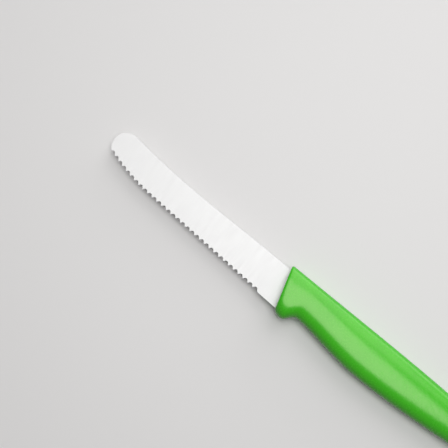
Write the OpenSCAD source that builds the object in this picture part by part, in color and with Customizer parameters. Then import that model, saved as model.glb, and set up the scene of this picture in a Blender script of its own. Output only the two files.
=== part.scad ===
// Tomato knife: a stamped blade with a small wavy edge and a round tip,
// with its tang held in a one-piece moulded handle.
//
// The knife lies on its side. X runs along it from the tip to the butt, Y rises
// to the spine, and Z is up, across the thickness. While a piece is being shaped,
// its zero is where the knife's axis meets the handle's slanted front, halfway
// through the thickness. It is then moved so that the zero of the finished knife
// is the middle of its box, on the surface that it lies on.

/* [Blade] */
// Length of the bare blade on the axis, from the handle to the tip
blade_len = 110; // [95:1:125]
// Height of the spine above the axis where it enters the handle
spine_h = 8.6; // [8:0.1:9.5]
// Height of the spine above the axis where it dips lowest
spine_dip_h = 7.6; // [7:0.1:8.5]
// Distance of the dip from the handle
spine_dip_at = 63; // [50:1:70]
// Length next to the handle over which the spine runs straight
spine_straight = 8; // [5:1:15]
// Radius of the spine's sweep from the dip up to the tip
spine_sweep_r = 420; // [300:10:900]
// Radius of the round tip
tip_r = 7.2; // [6.8:0.1:7.6]
// Depth of the cutting edge below the axis at the handle
heel_drop = 9.8; // [9.3:0.1:10.1]
// Climb of the straight part of the edge, in degrees
edge_climb = 1; // [0.5:0.1:1.5]
// Length of the straight part of the edge, before it curves up to the tip
edge_straight = 79; // [74:1:82]
// Thickness at the spine, and of the tang
spine_t = 1.2; // [1:0.1:2]
// Thickness behind the cutting edge
edge_t = 0.5; // [0.3:0.1:0.9]

/* [Wavy edge] */
// Distance from one tooth to the next
wave_pitch = 3.1; // [2.5:0.1:4]
// Slope of a tooth's flanks to the edge, in degrees
wave_flank = 52; // [45:1:60]
// Radius at the top of each hollow
wave_r = 0.95; // [0.6:0.05:1.1]
// Angle of the ground bevel to the blade's far side, in degrees
wave_bevel = 22; // [16:1:35]
// How far the teeth's tips stand in from the plain edge
tooth_in = 0.1; // [0.05:0.05:0.3]
// Plain length of edge next to the handle
heel_plain = 8.3; // [6:0.1:15]
// Plain length left at the tip
tip_plain = 2.4; // [2:0.1:8]

/* [Tang] */
// How far the full width of the blade reaches into the handle
heel_in = 4; // [3:0.5:6]
// Reach of the tang into the handle
tang_len = 74; // [65:1:80]
// Width of the tang where it leaves the blade
tang_w = 11; // [9:0.5:12]
// Width of the tang at its end
tang_end_w = 8; // [6:0.5:9]
// Height of the tang's middle above the axis
tang_mid_h = 1; // [0.5:0.1:2]
// Diameter of the holes that the moulding fills
lock_d = 4; // [3:0.1:5]
// Distance of the first lock hole from the handle's front
lock_at = 26; // [20:1:30]
// Distance between the lock holes
lock_pitch = 30; // [20:1:32]
// Gap between the tang and the moulding
tang_gap = 0.02; // [0.01:0.01:0.1]

/* [Handle] */
// Length of the handle on the axis
handle_len = 115; // [105:1:125]
// Thickness across the flanks
handle_t = 13; // [11:0.5:15]
// Slant of the front, in degrees
front_slant = 18; // [10:1:25]
// Length of the rounded shoulder behind the front
shoulder_len = 3.4; // [2:0.1:4]
// How far each flank stands in at the front, in front of the shoulder
shoulder_in = 0.9; // [0.3:0.1:2]
// Radius of the corner between the front and the handle's back
corner_r = 1.2; // [0.6:0.1:1.8]
// Height of the handle's back above the axis at the front
back_front_h = 10.9; // [10.5:0.1:12]
// Height of the handle's back above the axis where it is highest
back_peak_h = 12.2; // [12.1:0.1:13.5]
// Distance of that highest place from the front
back_peak_at = 78; // [60:1:85]
// Drop of the belly below the axis at the front, under the blade's heel
front_drop = 10.4; // [10.3:0.1:10.8]
// Drop of the finger guard
guard_drop = 12; // [11.5:0.1:14]
// Distance of the guard from the front
guard_at = 3.9; // [3.5:0.1:5]
// Drop of the belly at the neck behind the guard
neck_drop = 7.1; // [6.8:0.1:8]
// Distance of the neck from the front
neck_at = 12.9; // [12:0.1:15]
// Drop of the belly where it is deepest
belly_drop = 9.9; // [9:0.1:11]
// Distance of that deepest place from the front
belly_at = 48; // [40:1:55]
// Height of the handle's back at the start of the rounded butt
butt_back_h = 11; // [10:0.1:11.8]
// Drop of the belly at the start of the rounded butt
butt_drop = 5.2; // [4.5:0.1:7]
// Length of the rounded butt
butt_len = 11; // [8:0.5:16]
// Width of the rounding along the belly side
belly_r = 8; // [7:0.1:9]
// Depth that the flat for lying down takes off each flank
flat_cut = 0.12; // [0.05:0.01:0.3]

/* [Hidden] */

$fn = 64;
half_t = handle_t / 2;
slant = tan(front_slant);

// Squareness of the flanks' outer edges: 2 is an ellipse, and more is squarer.
belly_power = 2.5;
back_power_front = 3;
back_power_mid = 2.5;
back_power_butt = 2.3;

// Slopes of the handle's back and belly where they don't run level
back_slope_front = 0.02;
back_slope_butt = -0.12;
belly_slope_butt = 0.12;
// Length over which the handle's sections turn from slanted to upright
unslant_len = 28;

// Steps of the handle's skin: round the belly and the back, and along its length
belly_steps = 9;
back_steps = 10;
shoulder_steps = 6;
guard_steps = 12;
grip_steps = 22;
butt_steps = 8;
// Angle round the butt's curve at which the skin is closed with a tiny flat
butt_end_angle = 86;

// The tang starts this far inside the full width of the blade.
tang_root = 1.5;
// Cutters reach this far past what they cut.
cut_past = 5;

// The box round the knife runs from the tip to the butt and from the guard to the back.
box_mid_x = (handle_len - blade_len) / 2;
box_mid_y = (back_peak_h - guard_drop) / 2;

// Smooth blend from a to b as t goes from 0 to 1, with slopes ma and mb at its ends
function blend(t, a, b, ma = 0, mb = 0) =
    (2 * t ^ 3 - 3 * t ^ 2 + 1) * a + (t ^ 3 - 2 * t ^ 2 + t) * ma
    + (3 * t ^ 2 - 2 * t ^ 3) * b + (t ^ 3 - t ^ 2) * mb;

// Height at s of the smooth curve through knots of [place, height, slope]
function curve_at(knots, s, i = 0) =
    let (a = knots[i], b = knots[i + 1], w = b[0] - a[0])
    s > b[0] && i < len(knots) - 2
        ? curve_at(knots, s, i + 1)
        : blend((s - a[0]) / w, a[1], b[1], a[2] * w, b[2] * w);

// Points along an arc, without its first
function arc_points(c, r, from, to, steps) =
    [for (i = [1:steps]) let (a = from + (to - from) * i / steps) c + r * [cos(a), sin(a)]];

// A point at height y on the line that lies this deep behind the handle's slanted front
function behind_front(depth, y) = [depth - slant * y, y];

// Blade

// The spine's sweep is part of a large circle above the blade, which the round tip touches.
sweep_c = [-spine_dip_at, spine_dip_h + spine_sweep_r];
tip_x = tip_r - blade_len;
tip_c = [tip_x, sweep_c[1] - sqrt((spine_sweep_r + tip_r) ^ 2 - (tip_x - sweep_c[0]) ^ 2)];
sweep_angle = atan2(tip_c[1] - sweep_c[1], tip_c[0] - sweep_c[0]);

// The edge runs straight from the heel, then in an arc that touches the round tip.
edge_turn = [0, -heel_drop] + edge_straight * [-cos(edge_climb), sin(edge_climb)];
edge_in = [sin(edge_climb), cos(edge_climb)];
tip_to_turn = edge_turn - tip_c;
edge_r = (tip_r ^ 2 - tip_to_turn * tip_to_turn) / (2 * (edge_in * tip_to_turn + tip_r));
edge_c = edge_turn + edge_r * edge_in;
edge_angle = atan2(tip_c[1] - edge_c[1], tip_c[0] - edge_c[0]);

// Height of the cutting edge at a distance d from the handle
function edge_y(d) =
    d < -edge_turn[0]
        ? d * tan(edge_climb) - heel_drop
        : edge_c[1] - sqrt(edge_r ^ 2 - (d + edge_c[0]) ^ 2);

// Half the blade's thickness at height y: it is ground thinner from the spine to the edge
function blade_half_t(y) =
    (edge_t + (spine_t - edge_t) * (y + heel_drop) / (spine_h + heel_drop)) / 2;

module blade_outline() {
    spine_steps = 14;
    sweep_steps = 10;
    tip_steps = 36;
    edge_steps = 14;
    spine_dip = [for (i = [0:spine_steps]) let (t = i / spine_steps) [
        -spine_straight - t * (spine_dip_at - spine_straight),
        blend(t, spine_h, spine_dip_h)
    ]];
    polygon(concat(
        [behind_front(heel_in, -heel_drop), behind_front(heel_in, spine_h)],
        spine_dip,
        arc_points(sweep_c, spine_sweep_r, -90, sweep_angle, sweep_steps),
        arc_points(tip_c, tip_r, sweep_angle + 180, edge_angle + 360, tip_steps),
        arc_points(edge_c, edge_r, edge_angle, -90 - edge_climb, edge_steps),
        [[0, -heel_drop]]
    ));
}

// A bar along X with the blade's tapered section, made thicker by a gap on each side
module ground_bar(gap = 0) {
    low = -heel_drop - cut_past;
    high = spine_h + cut_past;
    rotate([90, 0, 90])
        translate([0, 0, -blade_len - cut_past])
            linear_extrude(blade_len + tang_len)
                polygon([
                    [low, -blade_half_t(low) - gap], [high, -blade_half_t(high) - gap],
                    [high, blade_half_t(high) + gap], [low, blade_half_t(low) + gap]
                ]);
}

// The flat tang with its rounded end, made larger by a gap all round
module tang_slab(gap = 0) {
    end_r = tang_end_w / 2;
    low = tang_mid_h - tang_w / 2 - gap;
    high = tang_mid_h + tang_w / 2 + gap;
    end_x = tang_len - end_r;
    translate([0, 0, -spine_t / 2 - gap])
        linear_extrude(spine_t + 2 * gap) {
            polygon([
                behind_front(heel_in - tang_root, low),
                [end_x, tang_mid_h - end_r - gap],
                [end_x, tang_mid_h + end_r + gap],
                behind_front(heel_in - tang_root, high)
            ]);
            translate([end_x, tang_mid_h]) circle(r = end_r + gap);
        }
}

// Round bars through the places of the lock holes
module lock_bars(r) {
    for (i = [0:1])
        translate([lock_at + i * lock_pitch, tang_mid_h, -spine_t])
            cylinder(r = r, h = 2 * spine_t);
}

// A tooth's hollow as it shows on the blade's near side: an arc between two straight
// flanks, which run on far enough to clear the blade's full thickness at the bevel's angle
wave_arc_steps = 10;
wave_trim = wave_r * (1 / cos(wave_flank) - 1);
wave_depth = wave_pitch / 2 * tan(wave_flank) - wave_trim;
wave_reach = wave_depth + tooth_in + spine_t / tan(wave_bevel) + wave_r;
wave_end = (wave_reach + wave_trim) / tan(wave_flank);
wave_profile = concat(
    [[-wave_end, -wave_reach]],
    [for (i = [0:wave_arc_steps])
        let (a = wave_flank * (2 * i / wave_arc_steps - 1))
        wave_r * [sin(a), cos(a) - 1]],
    [[wave_end, -wave_reach]]
);

// One hollow is ground from the far side, at the bevel's angle, down to the near side's edge.
module wave_cutter() {
    reach = 2 * spine_t / sin(wave_bevel);
    rotate([90 - wave_bevel, 0, 0])
        translate([0, 0, -reach])
            linear_extrude(2 * reach)
                polygon([for (p = wave_profile) [p[0], p[1] * sin(wave_bevel)]]);
}

module wavy_edge() {
    count = round((blade_len - heel_plain - tip_plain) / wave_pitch);
    for (i = [0:count - 1]) {
        d = heel_plain + (i + 0.5) * wave_pitch;
        top = edge_y(d) + tooth_in + wave_depth;
        translate([-d, top, blade_half_t(top)]) wave_cutter();
    }
}

module blade() {
    color([0.86, 0.87, 0.88])
        difference() {
            union() {
                intersection() {
                    translate([0, 0, -spine_t]) linear_extrude(2 * spine_t) blade_outline();
                    ground_bar();
                }
                tang_slab();
            }
            wavy_edge();
            lock_bars(lock_d / 2);
        }
}

// Handle

back_knots = [
    [0, back_front_h, back_slope_front],
    [back_peak_at, back_peak_h, 0],
    [handle_len - butt_len, butt_back_h, back_slope_butt]
];
belly_knots = [
    [guard_at, -guard_drop, 0],
    [neck_at, -neck_drop, 0],
    [belly_at, -belly_drop, 0],
    [handle_len - butt_len, -butt_drop, belly_slope_butt]
];
power_knots = [
    [0, back_power_front, 0],
    [belly_at, back_power_mid, 0],
    [handle_len - butt_len, back_power_butt, 0]
];

// How far a rounded corner of radius r stands back, at a depth s behind its face
function corner_in(s, r) = s < r ? r - sqrt(r ^ 2 - (r - s) ^ 2) : 0;

// Height of the belly's outline: under the heel the guard bulges out in a quarter ellipse
function belly_y(s) =
    s < guard_at
        ? -guard_drop + (guard_drop - front_drop) * corner_in(s, guard_at) / guard_at
        : curve_at(belly_knots, s);

function back_y(s) = curve_at(back_knots, s) - corner_in(s, corner_r);

// Quarter of a rounded section, [across, up] from 1 to 0, from its edge up to the flat
function quarter(power, steps) =
    let (flat_angle = asin((half_t / (half_t + flat_cut)) ^ (power / 2)))
    [for (i = [0:steps])
        let (a = flat_angle * i / steps)
        [cos(a) ^ (2 / power), sin(a) ^ (2 / power) * (half_t + flat_cut) / half_t]];

// Upper half of the handle's section at a depth s, as [y, z] from the belly to the back
function upper_half(s, half) =
    let (
        low = belly_y(s),
        high = back_y(s),
        crest = low + belly_r,
        belly = quarter(belly_power, belly_steps),
        back = quarter(curve_at(power_knots, s), back_steps)
    )
    concat(
        [for (p = belly) [crest - p[0] * (crest - low), p[1] * half]],
        [for (i = [back_steps:-1:0]) [crest + back[i][0] * (high - crest), back[i][1] * half]]
    );

// The whole section, with the lower half mirrored from the upper
function section(s, half) =
    let (up = upper_half(s, half), n = len(up))
    concat(up, [for (i = [n - 2:-1:1]) [up[i][0], -up[i][1]]]);

// One ring of the skin. Near the front it leans with the slanted front.
function ring(s, half) =
    let (lean = slant * (s < unslant_len ? 1 - blend(s / unslant_len, 0, 1) : 0))
    [for (p = section(s, half)) [s - lean * p[0], p[0], p[1]]];

// The butt closes in a quarter ellipse round the middle of its first ring.
butt_s = handle_len - butt_len;
butt_mid_y = (butt_back_h - butt_drop) / 2;
function butt_ring(a) = [
    for (p = section(butt_s, half_t)) [
        butt_s + butt_len * sin(a) / sin(butt_end_angle),
        butt_mid_y + (p[0] - butt_mid_y) * cos(a),
        p[1] * cos(a)
    ]
];

guard_end = neck_at + guard_at;
skin = concat(
    [for (i = [0:shoulder_steps])
        let (s = shoulder_len * (1 - cos(90 * i / shoulder_steps)))
        ring(s, half_t - shoulder_in * corner_in(s, shoulder_len) / shoulder_len)],
    [for (i = [1:guard_steps])
        ring(shoulder_len + (guard_end - shoulder_len) * i / guard_steps, half_t)],
    [for (i = [1:grip_steps]) ring(guard_end + (butt_s - guard_end) * i / grip_steps, half_t)],
    [for (i = [1:butt_steps]) butt_ring(butt_end_angle * i / butt_steps)]
);

module handle_skin() {
    n = len(skin[0]);
    last = len(skin) - 1;
    faces = [
        for (k = [0:last - 1], j = [0:n - 1])
            let (a = k * n + j, b = k * n + (j + 1) % n)
            each [[a, b, a + n], [b, b + n, a + n]]
    ];
    polyhedron(
        points = [for (r = skin) each r],
        faces = concat(
            [[for (j = [n - 1:-1:0]) j]],
            faces,
            [[for (j = [0:n - 1]) last * n + j]]
        )
    );
}

// The space that the moulding leaves for the blade's heel and the tang
module tang_pocket() {
    intersection() {
        translate([0, 0, -spine_t])
            linear_extrude(2 * spine_t)
                polygon([
                    behind_front(-cut_past, -heel_drop - tang_gap),
                    behind_front(heel_in + tang_gap, -heel_drop - tang_gap),
                    behind_front(heel_in + tang_gap, spine_h + tang_gap),
                    behind_front(-cut_past, spine_h + tang_gap)
                ]);
        ground_bar(tang_gap);
    }
    difference() {
        tang_slab(tang_gap);
        lock_bars(lock_d / 2 - tang_gap);
    }
}

module handle() {
    color([0.36, 0.74, 0.22])
        difference() {
            handle_skin();
            tang_pocket();
        }
}

module laid_down() {
    translate([-box_mid_x, -box_mid_y, half_t]) children();
}

laid_down() blade();
laid_down() handle();
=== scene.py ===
import math

import bmesh
import bpy
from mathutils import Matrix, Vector


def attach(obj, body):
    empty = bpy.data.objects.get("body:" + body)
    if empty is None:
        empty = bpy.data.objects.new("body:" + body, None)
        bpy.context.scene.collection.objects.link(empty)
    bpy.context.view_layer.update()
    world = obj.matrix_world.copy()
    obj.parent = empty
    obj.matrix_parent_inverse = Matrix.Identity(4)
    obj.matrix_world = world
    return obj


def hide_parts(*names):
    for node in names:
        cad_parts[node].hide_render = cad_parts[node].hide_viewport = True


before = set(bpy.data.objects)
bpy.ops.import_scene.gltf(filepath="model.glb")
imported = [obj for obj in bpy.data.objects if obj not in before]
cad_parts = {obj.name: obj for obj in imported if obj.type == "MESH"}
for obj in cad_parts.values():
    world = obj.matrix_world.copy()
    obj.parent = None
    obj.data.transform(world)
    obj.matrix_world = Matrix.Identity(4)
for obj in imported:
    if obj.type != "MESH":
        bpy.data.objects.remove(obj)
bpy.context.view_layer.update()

MM = 0.001

# The handle's measures in millimetres. S runs back from the handle's slanted front,
# and Y and Z are measured from the knife's axis.
HANDLE_LEN = 115
HALF_T = 6.5
AXIS_AT = (-2.5, -0.1, HALF_T)
SLANT = math.tan(math.radians(18))
UNSLANT_LEN = 28
SHOULDER_LEN = 3.4
SHOULDER_IN = 0.9
CORNER_R = 1.2
FRONT_BACK = 10.9
FRONT_DROP = 10.4
GUARD_AT = 3.9
GUARD_DROP = 12
NECK_AT = 12.9
NECK_DROP = 7.1
BELLY_AT = 48
BELLY_DROP = 9.9
BELLY_R = 8
PEAK_AT = 78
PEAK_BACK = 12.2
BUTT_LEN = 11
BUTT_AT = HANDLE_LEN - BUTT_LEN
BUTT_BACK = 11
BUTT_DROP = 5.2
FRONT_SLOPE = 0.02
BUTT_SLOPE = 0.12

# The powers of the section's rounded quarters. At 2 a quarter is an ellipse's.
BELLY_POWER = 2.5
FRONT_POWER = 3
MID_POWER = 2.5
BUTT_POWER = 2.3

# Knots of place, value and slope
BACK_KNOTS = [
    (0, FRONT_BACK, FRONT_SLOPE),
    (PEAK_AT, PEAK_BACK, 0),
    (BUTT_AT, BUTT_BACK, -BUTT_SLOPE),
]
BELLY_KNOTS = [
    (GUARD_AT, -GUARD_DROP, 0),
    (NECK_AT, -NECK_DROP, 0),
    (BELLY_AT, -BELLY_DROP, 0),
    (BUTT_AT, -BUTT_DROP, BUTT_SLOPE),
]
POWER_KNOTS = [(0, FRONT_POWER, 0), (BELLY_AT, MID_POWER, 0), (BUTT_AT, BUTT_POWER, 0)]

# Steps of the handle's skin
QUARTER_STEPS = 18
SHOULDER_STEPS = 18
GUARD_STEPS = 40
GRIP_STEPS = 60
BUTT_STEPS = 24
BUTT_END_ANGLE = 88
FRONT_SHARES = (0.5, 0.96)

# Looks. A colour is linear, a noise's scale is in waves per metre and a bump's distance
# is in metres.
GREENS = (0.030, 0.445, 0.002), (0.038, 0.475, 0.003)
GREEN_TINT = (1, 1, 0.72, 1)
GREEN_IOR = 1.55
GREEN_ROUGHNESS = 0.22, 0.30
CLOUD_SCALE = 60
SHEEN_SCALE = 900
GRAIN_SCALE = 2600
GRAIN_DETAIL = 3
GRAIN_BUMP = 0.16, 0.00003
STEELS = (0.56, 0.56, 0.56), (0.60, 0.60, 0.60)
STEEL_ROUGHNESS = 0.62, 0.74
LINE_SCALE = 900
LINE_DETAIL = 4
LINE_STRETCH = (6, 0.12, 1)
LINE_BUMP = 0.12, 0.00002
FLOOR_SIZE = 4
FLOOR_COLOURS = (0.22, 0.21, 0.21), (0.72, 0.71, 0.705)
FLOOR_ROUGHNESS = 0.6
BACKDROP_COLOUR = (1, 0.99, 0.98, 1)
BACKDROP_STRENGTHS = 0.01, 0.6

# The range that holds most of a noise
NOISE_LOW = 0.3
NOISE_HIGH = 0.7

# Name, place, aim, width, depth and power of each lamp
LAMPS = [
    ("overhead", (-0.01, 0.095, 0.8), (-0.01, 0.08, 0), 0.86, 0.50, 4.95),
    ("window", (-0.1, 1.2, 1.1), (-0.05, 0, 0), 1.3, 1.3, 10.5),
    ("wall", (0.0, 1.5, 0.3), (0, 0, 0), 1.8, 0.6, 8.0),
]

# The camera stands almost straight above the knife, and looks down at it. Its place is
# in millimetres, and its turn in degrees.
CAMERA_AT = (-1.78, -24.58, 339.1)
CAMERA_TURN = (8.474, 2.189, 40.836)
FOCAL_PIXELS = 700
PICTURE_PIXELS = 448
SENSOR = 36


# The handle's shape

def blend(t, a, b, slope_a=0.0, slope_b=0.0):
    """Smooth blend from a to b as t goes from 0 to 1, with slopes at its ends."""
    rise = 3 * t ** 2 - 2 * t ** 3
    leave = (t ** 3 - 2 * t ** 2 + t) * slope_a
    arrive = (t ** 3 - t ** 2) * slope_b
    return (1 - rise) * a + rise * b + leave + arrive


def curve_at(knots, s):
    """Value at s of the smooth curve through the knots."""
    for (place, value, slope), (next_place, next_value, next_slope) in zip(knots, knots[1:]):
        if s <= next_place or next_place == knots[-1][0]:
            width = next_place - place
            share = (s - place) / width
            return blend(share, value, next_value, slope * width, next_slope * width)


def corner_in(s, radius):
    """How far a rounded corner stands back, at a depth s behind its face."""
    return radius - math.sqrt(radius ** 2 - (radius - s) ** 2) if s < radius else 0.0


def belly_y(s):
    if s < GUARD_AT:
        return -GUARD_DROP + (GUARD_DROP - FRONT_DROP) * corner_in(s, GUARD_AT) / GUARD_AT
    return curve_at(BELLY_KNOTS, s)


def back_y(s):
    return curve_at(BACK_KNOTS, s) - corner_in(s, CORNER_R)


def quarter(power):
    """Quarter of a rounded section, as shares of its width and height."""
    turns = [math.pi / 2 * step / QUARTER_STEPS for step in range(QUARTER_STEPS)]
    return [(math.cos(a) ** (2 / power), math.sin(a) ** (2 / power)) for a in turns]


def section(s, half):
    """The outline across the handle at s, as Y and Z from the belly round to the belly."""
    low, high = belly_y(s), back_y(s)
    crest = low + BELLY_R
    back_power = curve_at(POWER_KNOTS, s)
    belly = [(crest - across * (crest - low), up * half) for across, up in quarter(BELLY_POWER)]
    back = [(crest + across * (high - crest), up * half) for across, up in quarter(back_power)]
    upper = belly + [(crest, half)] + back[::-1]
    return upper + [(y, -z) for y, z in upper[-2:0:-1]]


def ring(s, half):
    """The section at s, leaning with the slanted front."""
    lean = SLANT * (1 - blend(s / UNSLANT_LEN, 0, 1)) if s < UNSLANT_LEN else 0.0
    return [(s - lean * y, y, z) for y, z in section(s, half)]


def shoulder_ring(s):
    """A ring on the rounded shoulder behind the front."""
    return ring(s, HALF_T - SHOULDER_IN * corner_in(s, SHOULDER_LEN) / SHOULDER_LEN)


def butt_ring(degrees):
    """A ring on the rounded butt, shrunk towards the butt's middle."""
    turn = math.radians(degrees)
    middle = (BUTT_BACK - BUTT_DROP) / 2
    far = BUTT_AT + BUTT_LEN * math.sin(turn)
    shrink = math.cos(turn)
    outer = section(BUTT_AT, HALF_T)
    return [(far, middle + (y - middle) * shrink, z * shrink) for y, z in outer]


def front_ring(share):
    """A ring on the flat front, shrunk towards the middle of the front."""
    outer = ring(0, HALF_T - SHOULDER_IN)
    middle = [sum(point[axis] for point in outer) / len(outer) for axis in range(3)]
    return [[m + (value - m) * share for m, value in zip(middle, point)] for point in outer]


def handle_rings():
    guard_end = NECK_AT + GUARD_AT
    rings = [front_ring(share) for share in FRONT_SHARES]
    for step in range(SHOULDER_STEPS + 1):
        turn = math.pi / 2 * step / SHOULDER_STEPS
        rings.append(shoulder_ring(SHOULDER_LEN * (1 - math.cos(turn))))
    for step in range(1, GUARD_STEPS + 1):
        s = SHOULDER_LEN + (guard_end - SHOULDER_LEN) * step / GUARD_STEPS
        rings.append(ring(s, HALF_T))
    for step in range(1, GRIP_STEPS + 1):
        rings.append(ring(guard_end + (BUTT_AT - guard_end) * step / GRIP_STEPS, HALF_T))
    for step in range(1, BUTT_STEPS + 1):
        rings.append(butt_ring(BUTT_END_ANGLE * step / BUTT_STEPS))
    return rings


def skin_mesh(name, rings):
    """A closed mesh through rings of points, in millimetres from the knife's axis."""
    work = bmesh.new()
    axis = Vector(AXIS_AT)
    loops = [[work.verts.new((Vector(point) + axis) * MM) for point in points] for points in rings]
    count = len(loops[0])
    for near, far in zip(loops, loops[1:]):
        for i in range(count):
            j = (i + 1) % count
            work.faces.new((near[i], near[j], far[j], far[i]))
    work.faces.new(loops[0][::-1])
    work.faces.new(loops[-1])
    bmesh.ops.recalc_face_normals(work, faces=work.faces)
    mesh = bpy.data.meshes.new(name)
    work.to_mesh(mesh)
    work.free()
    for face in mesh.polygons:
        face.use_smooth = True
    return mesh


def make_handle():
    mesh = skin_mesh("moulded_handle", handle_rings())
    handle = bpy.data.objects.new("moulded_handle", mesh)
    bpy.context.scene.collection.objects.link(handle)
    handle.data.materials.append(green_plastic())
    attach(handle, "root")
    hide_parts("handle")


# Materials

def new_material(name):
    material = bpy.data.materials.new(name)
    material.use_nodes = True
    nodes = material.node_tree.nodes
    return material, nodes, material.node_tree.links, nodes["Principled BSDF"]


def noise(nodes, links, scale, detail, stretch=(1, 1, 1)):
    """A noise in the object's own metres, stretched along its axes."""
    place = nodes.new("ShaderNodeTexCoord")
    mapping = nodes.new("ShaderNodeMapping")
    mapping.inputs["Scale"].default_value = stretch
    texture = nodes.new("ShaderNodeTexNoise")
    texture.inputs["Scale"].default_value = scale
    texture.inputs["Detail"].default_value = detail
    links.new(place.outputs["Object"], mapping.inputs["Vector"])
    links.new(mapping.outputs["Vector"], texture.inputs["Vector"])
    return texture.outputs["Fac"]


def mapped(nodes, links, value, low, high, start=NOISE_LOW, end=NOISE_HIGH):
    """Turns a value's range from start to end into the range from low to high."""
    spread = nodes.new("ShaderNodeMapRange")
    spread.inputs["From Min"].default_value = start
    spread.inputs["From Max"].default_value = end
    spread.inputs["To Min"].default_value = low
    spread.inputs["To Max"].default_value = high
    links.new(value, spread.inputs["Value"])
    return spread.outputs["Result"]


def add_bump(nodes, links, shader, height, strength, distance):
    bump = nodes.new("ShaderNodeBump")
    bump.inputs["Strength"].default_value = strength
    bump.inputs["Distance"].default_value = distance
    links.new(height, bump.inputs["Height"])
    links.new(bump.outputs["Normal"], shader.inputs["Normal"])


def two_colours(nodes, links, shader, value, first, second):
    mix = nodes.new("ShaderNodeMix")
    mix.data_type = "RGBA"
    mix.inputs["A"].default_value = (*first, 1)
    mix.inputs["B"].default_value = (*second, 1)
    links.new(value, mix.inputs["Factor"])
    links.new(mix.outputs["Result"], shader.inputs["Base Color"])


def green_plastic():
    """Moulded plastic with a slight sheen, a fine grain and faint clouds in its colour."""
    material, nodes, links, shader = new_material("green_plastic")
    shader.inputs["IOR"].default_value = GREEN_IOR
    shader.inputs["Specular Tint"].default_value = GREEN_TINT
    cloud = mapped(nodes, links, noise(nodes, links, CLOUD_SCALE, GRAIN_DETAIL), 0, 1)
    two_colours(nodes, links, shader, cloud, *GREENS)
    grain = noise(nodes, links, GRAIN_SCALE, GRAIN_DETAIL)
    sheen = noise(nodes, links, SHEEN_SCALE, GRAIN_DETAIL)
    links.new(mapped(nodes, links, sheen, *GREEN_ROUGHNESS), shader.inputs["Roughness"])
    add_bump(nodes, links, shader, grain, *GRAIN_BUMP)
    return material


def satin_steel():
    """Rolled and fine-ground steel, with faint lines across the blade."""
    material, nodes, links, shader = new_material("satin_steel")
    shader.inputs["Metallic"].default_value = 1.0
    lines = noise(nodes, links, LINE_SCALE, LINE_DETAIL, LINE_STRETCH)
    two_colours(nodes, links, shader, mapped(nodes, links, lines, 0, 1), *STEELS)
    links.new(mapped(nodes, links, lines, *STEEL_ROUGHNESS), shader.inputs["Roughness"])
    add_bump(nodes, links, shader, lines, *LINE_BUMP)
    return material


def larger(nodes, links, first, second):
    compare = nodes.new("ShaderNodeMath")
    compare.operation = "MAXIMUM"
    links.new(first, compare.inputs[0])
    links.new(second, compare.inputs[1])
    return compare.outputs["Value"]


def seen_rays(nodes, links):
    """1 for the camera's rays and those by way of metal or glass, and 0 for the rest."""
    rays = nodes.new("ShaderNodeLightPath").outputs
    seen = larger(nodes, links, rays["Is Camera Ray"], rays["Is Glossy Ray"])
    return larger(nodes, links, seen, rays["Is Transmission Ray"])


def pale_floor():
    """A pale floor that throws less light back at the knife than the camera sees on it."""
    material, nodes, links, shader = new_material("pale_floor")
    shader.inputs["Roughness"].default_value = FLOOR_ROUGHNESS
    two_colours(nodes, links, shader, seen_rays(nodes, links), *FLOOR_COLOURS)
    return material


def dress(node, material):
    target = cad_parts[node]
    target.data.materials.clear()
    target.data.materials.append(material)


# The room

def make_floor():
    bpy.ops.mesh.primitive_plane_add(size=FLOOR_SIZE)
    floor = bpy.context.object
    floor.name = "floor"
    floor.data.materials.append(pale_floor())


def area_light(name, place, aim, width, depth, power):
    data = bpy.data.lights.new(name, "AREA")
    data.shape = "ELLIPSE"
    data.size = width
    data.size_y = depth
    data.energy = power
    lamp = bpy.data.objects.new(name, data)
    bpy.context.scene.collection.objects.link(lamp)
    lamp.location = place
    lamp.rotation_euler = (Vector(aim) - Vector(place)).to_track_quat("-Z", "Y").to_euler()


def light_room():
    """A backdrop that shows pale but hardly lights the knife, and the lamps."""
    world = bpy.data.worlds.new("room")
    bpy.context.scene.world = world
    world.use_nodes = True
    nodes, links = world.node_tree.nodes, world.node_tree.links
    backdrop = nodes["Background"]
    backdrop.inputs["Color"].default_value = BACKDROP_COLOUR
    strength = mapped(nodes, links, seen_rays(nodes, links), *BACKDROP_STRENGTHS, 0, 1)
    links.new(strength, backdrop.inputs["Strength"])
    for lamp in LAMPS:
        area_light(*lamp)


def make_camera():
    data = bpy.data.cameras.new("camera")
    data.sensor_width = SENSOR
    data.lens = FOCAL_PIXELS / PICTURE_PIXELS * SENSOR
    camera = bpy.data.objects.new("camera", data)
    bpy.context.scene.collection.objects.link(camera)
    camera.location = Vector(CAMERA_AT) * MM
    camera.rotation_euler = [math.radians(turn) for turn in CAMERA_TURN]
    bpy.context.scene.camera = camera


make_camera()
make_floor()
light_room()
make_handle()
dress("blade", satin_steel())

scene = bpy.context.scene
scene.view_settings.view_transform = "Standard"
